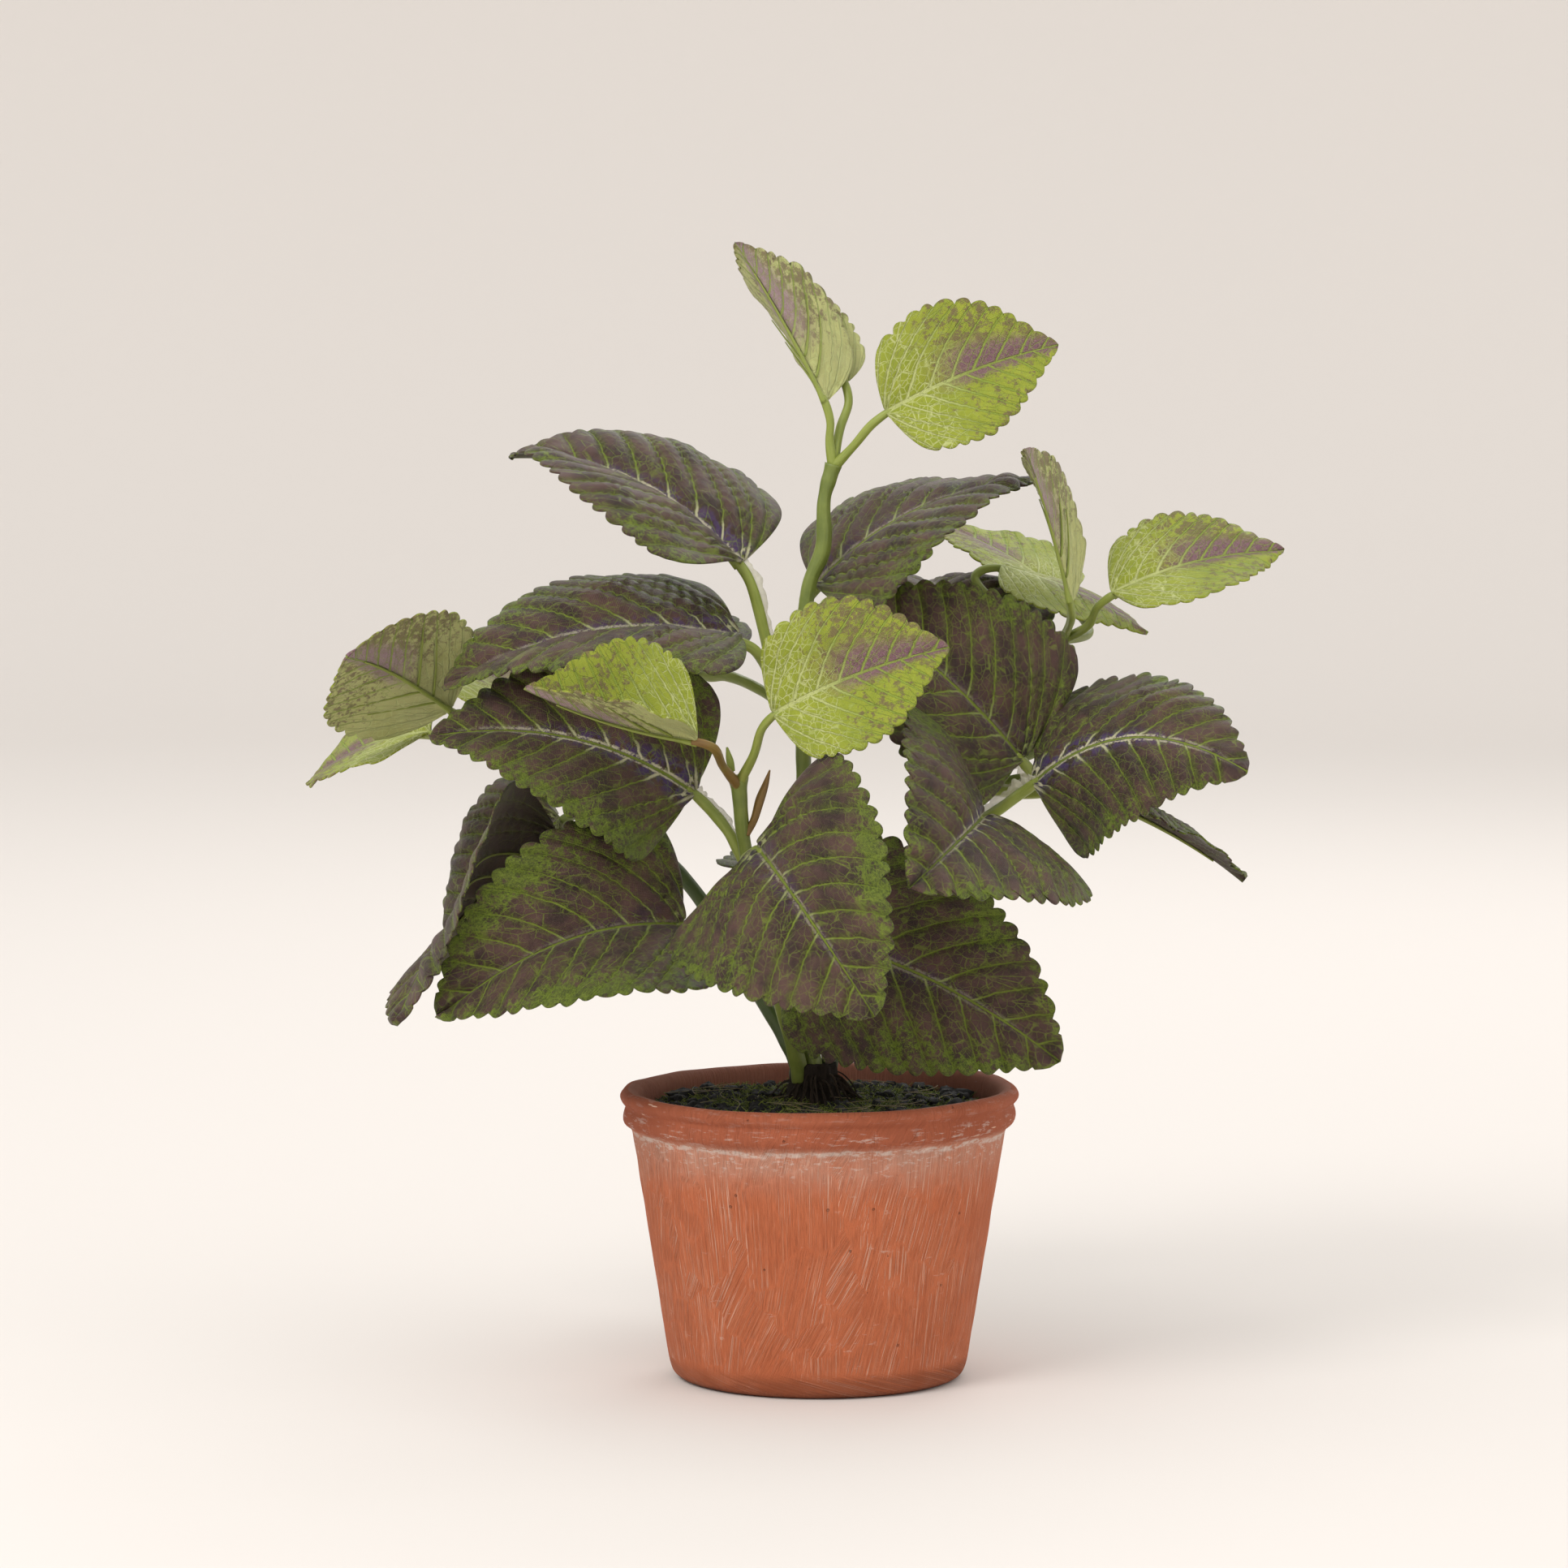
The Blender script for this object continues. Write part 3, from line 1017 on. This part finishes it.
def moss():
    """Dark to bright green strands, brighter to their tips, and straw."""
    g = Graph("moss", 0.7, 0.3)
    tone, along, _ = g.field("ground")
    dark = g.mix(along, (0.04, 0.055, 0.010), (0.14, 0.18, 0.026))
    bright = g.mix(along, (0.10, 0.13, 0.016), (0.34, 0.40, 0.065))
    straw = g.mix(along, (0.2, 0.15, 0.08), (0.42, 0.36, 0.22))
    colour = g.mix(g.step(tone, 0.3, 0.8), dark, bright)
    g.colour(g.mix(g.step(tone, 1.2, 1.3), colour, straw))
    return g.material


def heading_to(polar, azimuth):
    """A unit vector, polar radians away from straight up."""
    flat = math.sin(polar)
    return np.array([flat * math.cos(azimuth), flat * math.sin(azimuth), math.cos(polar)])


def scatter(rng, reach):
    """Radius, x and y of a place anywhere within that reach."""
    r, a = reach * math.sqrt(rng.uniform(0, 1)), rng.uniform(0, 2 * math.pi)
    return r, r * math.cos(a), r * math.sin(a)


def clod(rng, centre, size):
    """Points and faces of a small angular lump."""
    sides = 6
    polars = [0.0, 0.62, 1.25, 1.9, 2.55, math.pi]
    points = []
    for i, polar in enumerate(polars):
        for k in range(1 if i in (0, len(polars) - 1) else sides):
            azimuth = 2 * math.pi * (k + 0.5 * (i % 2)) / sides
            points.append(heading_to(polar, azimuth) * rng.uniform(0.7, 1.15))
    rings = len(polars) - 2
    low, tip = 1 + (rings - 1) * sides, 1 + rings * sides
    faces = spread(rings, sides) + [(low + k, tip, low + (k + 1) % sides) for k in range(sides)]
    stretch = size * np.array([rng.uniform(0.8, 1.3), rng.uniform(0.8, 1.3), rng.uniform(0.6, 0.9)])
    return np.array(points) * stretch + centre, faces


def make_soil(ground, rng):
    """The bed of earth, mounded and rough, with clods on it."""
    angles = circle(SOIL_SPOKES)
    points = [(0, 0, soil_height(0, 0))]
    for r in SOIL_RADIUS * np.linspace(0, 1, SOIL_RINGS + 1)[1:]:
        x, y = r * np.cos(angles), r * np.sin(angles)
        rough = 0.55 * ripples(x, y, np.random.default_rng(5), 5)
        rough += 0.35 * ripples(x, y, np.random.default_rng(6), 2.2)
        calm = min(1, (SOIL_RADIUS - r) / 3 + 0.4)
        points.extend(columns_of(x, y, soil_height(x, y) + rough * calm))
    radius, height = SOIL_SKIRT
    points.extend(columns_of(radius * np.cos(angles), radius * np.sin(angles), height))
    points = np.array(points)
    floor = tuple(range(len(points) - 1, len(points) - 1 - SOIL_SPOKES, -1))
    bed = Mesh()
    bed.add(points, spread(SOIL_RINGS + 1, SOIL_SPOKES) + [floor], columns_of(*points[:, :2].T, 0.0))
    for _ in range(CLODS):
        r, x, y = scatter(rng, CLOD_REACH)
        size = rng.uniform(0.5, 1.1) if rng.uniform() < 0.75 else rng.uniform(1.1, 2.2)
        if r > BIG_CLODS_FROM and rng.uniform() < 0.12:
            size = rng.uniform(2.0, 3.0)
        points, faces = clod(rng, np.array([x, y, soil_height(x, y) + size * 0.25]), size)
        bed.add(points, faces, columns_of(*(points[:, :2] * 1.7).T, rng.uniform(1, 50)))
    bed.piece("soil_granules", [ground], ["soil"], "ground")


def make_moss(fibre, rng):
    """Short strands of moss, most of them in patches, and a few long straws."""
    strands = Mesh()
    for number in range(MOSS):
        patchy = rng.uniform() < 0.7
        while True:
            _, x, y = scatter(rng, MOSS_REACH)
            thick = math.sin(x * 0.16 + 1.3) * math.sin(y * 0.19 + x * 0.05) + 0.25
            if not patchy or thick > 0:
                break
        straw = rng.uniform() < 0.012
        length = rng.uniform(8, 14) if straw else rng.uniform(1.2, 3.4)
        tone = STRAW_TONE if straw else rng.uniform(0, 1)
        heading, lean = rng.uniform(0, 2 * math.pi), rng.uniform(0.5, 1.35)
        bend = rng.uniform(-0.9, 0.9)
        width = 0.16 if straw else rng.uniform(0.1, 0.2)
        line = [np.array([x, y, soil_height(x, y) + (1.6 if straw else -0.1)])]
        steps = 6 if straw else 4
        for _ in range(steps):
            heading += bend * 0.3
            line.append(line[-1] + heading_to(1.5 if straw else lean, heading) * length / steps)
            lean += 0.12
        centres = np.array(line)
        if np.hypot(centres[:, 0], centres[:, 1]).max() < MOSS_LIMIT:
            taper = np.linspace(1, 0.35, len(centres)) * width
            points, faces, marks = ring_tube(centres, taper, 3)
            strands.add(points, faces, columns_of(tone, marks[:, 1] / length, number * 0.1))
    strands.piece("moss_strands", [fibre], [], "ground")


# ------------------------------------------------------------------- trunk

TRUNK_X = -1.8
TRUNK_HEIGHTS = [78.5, 82, 86, 90.5]
TRUNK_RADII = [9.2, 7.6, 6.8, 6.4]
TRUNK_RINGS, TRUNK_SIDES = 26, 64
FIBRES = 46
FRONT_FIBRES = 34       # this many lie on the side that the photo shows
FIBRE_FALL = ((0, 0), (0.25, 0.1), (0.55, 0.55), (0.8, 0.9), (1, 1))    # share out, share down


def bark():
    """Dark fibrous bark, with paler loose fibres."""
    g = Graph("bark", 0.85, 0.2)
    tone, around, along = g.field("tone")
    fibres = g.noise(g.join(around * 5.0, along * 0.25, tone * 9.0), 1.0, 4, 0.7)
    dark = g.mix(fibres, (0.006, 0.005, 0.004), (0.040, 0.030, 0.022))
    pale = g.mix(fibres, (0.035, 0.025, 0.017), (0.19, 0.14, 0.095))
    g.colour(g.mix(tone, dark, pale))
    g.bump(fibres, 0.0012)
    return g.material


def make_trunk(material):
    """The ridged stump, and loose fibres that run off it onto the soil."""
    rng = np.random.default_rng(SEED + 200)
    mesh = Mesh()
    heights = np.linspace(TRUNK_HEIGHTS[0], TRUNK_HEIGHTS[-1], TRUNK_RINGS)
    angles = circle(TRUNK_SIDES)
    points = []
    for z, r in zip(heights, np.interp(heights, TRUNK_HEIGHTS, TRUNK_RADII)):
        ridges = 0.5 * ripples(angles * 8, angles * 0 + z * 0.35, np.random.default_rng(3), 5)
        ridges[-1] = (ridges[-2] + ridges[0]) / 2
        x, y = (r + ridges) * np.cos(angles), (r + ridges) * np.sin(angles) * 0.95
        wave = 0.4 * np.sin(angles * 5 + 1) * (z - 80) / 10
        points.append(columns_of(TRUNK_X + x, y, z + wave))
    around = np.tile(np.minimum(angles, 2 * math.pi - angles), TRUNK_RINGS)
    mesh.add(np.concatenate(points), closed_loft(TRUNK_RINGS, TRUNK_SIDES),
             columns_of(0.05, around * 2, np.repeat(heights, TRUNK_SIDES)))
    for i in range(FIBRES):
        heading = rng.uniform(-1.9, 0.9) if i < FRONT_FIBRES else rng.uniform(0, 2 * math.pi)
        start = rng.uniform(84, 88.5)
        out = rng.uniform(10, 17)
        line = []
        for u, fall in FIBRE_FALL:
            reach = 6 + (out - 6) * u
            x, y = TRUNK_X + math.cos(heading) * reach, math.sin(heading) * reach
            floor = soil_height(x, y) + 0.3
            line.append((x + rng.uniform(-0.5, 0.5), y + rng.uniform(-0.5, 0.5),
                         start + (floor - start) * fall, rng.uniform(0.22, 0.42) * (1 - 0.5 * u)))
        add_tube(mesh, line, rng.uniform(0.3, 1.0), sides=6, spacing=1.0)
    mesh.piece("trunk_bark", [material], ["trunk"])


# ---------------------------------------------------------------- assemble

cloths = {
    "dark": [dark_cloth("dark_cloth", False), dark_cloth("dark_cloth_under", True)],
    "lime": [lime_cloth("lime_cloth", False), lime_cloth("lime_cloth_under", True)],
}
plastic = moulded()
leaves = {name: make_leaf(name, number, cloths) for number, name in enumerate(LEAVES)}

ribs = Mesh()
for leaf in leaves.values():
    add_ribs(ribs, leaf)
ribs.piece("leaf_ribs", [plastic], [])

flash = Mesh()
for number, (name, stem) in enumerate(STEMS.items()):
    mesh = Mesh()
    rng = np.random.default_rng(SEED + 400 + number)
    add_tube(mesh, stem["body"], stem["tone"], 16, 1.0, 0.06, rng)
    for leaf_name, (start, tone) in stem["petioles"].items():
        rows = petiole_points(leaves[leaf_name], start)
        add_tube(mesh, rows, tone, 14, 0.9, 0.03, rng)
        if leaf_name in FLASHED:
            add_flash(flash, rows, rng, FLASHED[leaf_name])
    mesh.piece(name + "_moulded", [plastic], [name])
flash.piece("petiole_flash", [film()], [])

for number, (name, (points, tone)) in enumerate(BUDS.items()):
    mesh = Mesh()
    add_tube(mesh, points, tone, 12, 0.4, 0.1, np.random.default_rng(SEED + 500 + number))
    mesh.piece(name + "_moulded", [plastic], [name])

make_pot(clay())
soil_draws = np.random.default_rng(SEED + 100)
make_soil(earth(), soil_draws)
make_moss(moss(), soil_draws)
make_trunk(bark())


# ---------------------------------------------- stage, light and camera, in metres

STAGE_FLAT = 2.4        # the floor runs out level this far, then curves up into a wall
STAGE_CURVE = 0.8
STAGE_TOP = 1.0
STAGE_SIDES = 64
STAGE_PAINT = (0.78, 0.74, 0.705)
FLAT_STEPS, CURVE_STEPS = 6, 12

WARM_WHITE = (1, 0.985, 0.965)
SKY_STRENGTH = 0.98
# Place, the height aimed at, diameter, watts, colour.
LIGHTS = {
    "key": ((-1.0, -1.3, 1.5), 0.15, 0.9, 18, WARM_WHITE),
    "fill": ((1.6, -1.2, 0.8), 0.15, 1.2, 4, WARM_WHITE),
    "rim": ((0.4, 1.4, 1.2), 0.2, 0.9, 5, (1, 0.99, 0.98)),
}

CAMERA_PLACE = (-0.010, -1.8, 0.325)
CAMERA_PITCH = 4.88     # degrees down
CAMERA_LENS = 144.6     # millimetres, on a sensor this wide
CAMERA_SENSOR = 36


def make_stage():
    """The pale floor, a wide bowl that turns up into a wall all round."""
    profile = [(STAGE_FLAT * i / FLAT_STEPS, 0.0) for i in range(1, FLAT_STEPS + 1)]
    for i in range(1, CURVE_STEPS + 1):
        turn = math.pi / 2 * i / CURVE_STEPS
        profile.append((STAGE_FLAT + STAGE_CURVE * math.sin(turn), STAGE_CURVE * (1 - math.cos(turn))))
    profile.append((STAGE_FLAT + STAGE_CURVE, STAGE_TOP))
    points = [(0, 0, 0)]
    for radius, height in profile:
        points.extend((radius * math.cos(a), radius * math.sin(a), height) for a in circle(STAGE_SIDES))
    faces = spread(len(profile), STAGE_SIDES)
    mesh = bpy.data.meshes.new("floor")
    mesh.from_pydata(points, [], faces)
    mesh.polygons.foreach_set("use_smooth", [True] * len(faces))
    paint = Graph("floor_paint", 0.9, 0.1)
    paint.colour(STAGE_PAINT)
    mesh.materials.append(paint.material)
    made = bpy.data.objects.new("floor", mesh)
    scene.collection.objects.link(made)


def area_light(name, place, aim, size, power, colour):
    """A round lamp that looks at a point above the pot's middle."""
    data = bpy.data.lights.new(name, "AREA")
    data.shape = "DISK"
    data.size = size
    data.energy = power
    data.color = colour
    made = bpy.data.objects.new(name, data)
    made.location = place
    made.rotation_mode = "QUATERNION"
    towards = Vector((0, 0, aim)) - Vector(place)
    made.rotation_quaternion = towards.to_track_quat("-Z", "Y")
    scene.collection.objects.link(made)


def make_camera():
    data = bpy.data.cameras.new("camera")
    data.lens = CAMERA_LENS
    data.sensor_width = CAMERA_SENSOR
    data.clip_end = 100
    camera = bpy.data.objects.new("camera", data)
    camera.location = CAMERA_PLACE
    camera.rotation_euler = (math.radians(90 - CAMERA_PITCH), 0, 0)
    scene.collection.objects.link(camera)
    scene.camera = camera


scene = bpy.context.scene
scene.view_settings.view_transform = "Standard"
make_stage()
for name, settings in LIGHTS.items():
    area_light(name, *settings)
make_camera()

world = bpy.data.worlds.new("studio")
world.use_nodes = True
background = world.node_tree.nodes["Background"]
background.inputs["Color"].default_value = (*WARM_WHITE, 1)
background.inputs["Strength"].default_value = SKY_STRENGTH
scene.world = world
